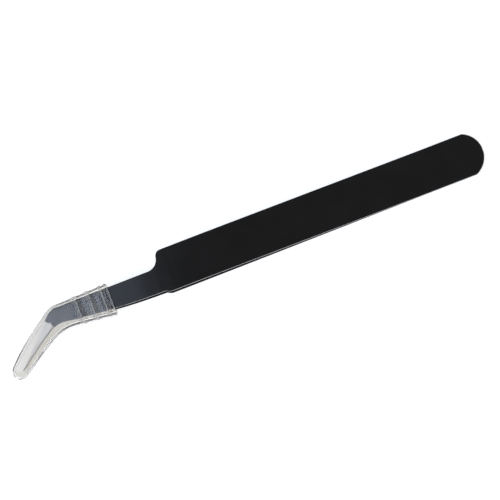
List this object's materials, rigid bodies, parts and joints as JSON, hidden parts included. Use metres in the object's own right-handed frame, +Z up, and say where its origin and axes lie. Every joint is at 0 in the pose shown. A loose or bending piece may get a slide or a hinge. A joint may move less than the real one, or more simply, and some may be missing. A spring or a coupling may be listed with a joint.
{
  "type": "bent-tip tweezers",
  "caption": "Coated flat tweezers with fine points bent to one side and a soft clear cap over the points.",
  "frame": {"origin": "on the surface the tool lies on, under the middle of its length and of its width", "axes": "+X along the tool towards the points, +Y towards the side the points bend to, +Z up from the surface the tool lies on"},
  "size_m": [0.1201, 0.0166, 0.011],
  "materials": {
    "stainless_strip": "ground",
    "weld_metal": "as welded",
    "black_coat": "satin",
    "clear_pvc": "clear, slightly hazy"
  },
  "bodies": {
    "tail": {"upper_arm_root": "stainless_strip", "lower_arm_root": "stainless_strip", "spot_welds": "weld_metal", "tail_coating": "black_coat"},
    "upper_arm": {"upper_arm_blade": "stainless_strip", "upper_blade_coating": "black_coat"},
    "lower_arm": {"lower_arm_blade": "stainless_strip", "lower_blade_coating": "black_coat"},
    "cap": {"tip_cap": "clear_pvc"}
  },
  "joints": [
    {"name": "upper_arm_flex", "type": "hinge", "parent": "tail", "child": "upper_arm", "pos_m": [-0.03608, -0.00329, 0.00299], "axis": [0, 1, 0], "range_deg": [0, 0.85], "stiffness_Nm_per_rad": 1.2},
    {"name": "lower_arm_flex", "type": "hinge", "parent": "tail", "child": "lower_arm", "pos_m": [-0.03601, -0.00329, 0.00179], "axis": [0, -1, 0], "range_deg": [0, 0.85], "stiffness_Nm_per_rad": 1.2},
    {"name": "cap_pull", "type": "slide", "parent": "tail", "child": "cap", "axis": [0.9985, 0, 0.0539], "range_m": [0, 0.04], "deforming": ["tip_cap"]}
  ],
  "couplings": [
    {"joint": "lower_arm_flex", "follows": "upper_arm_flex", "ratio": 1}
  ]
}
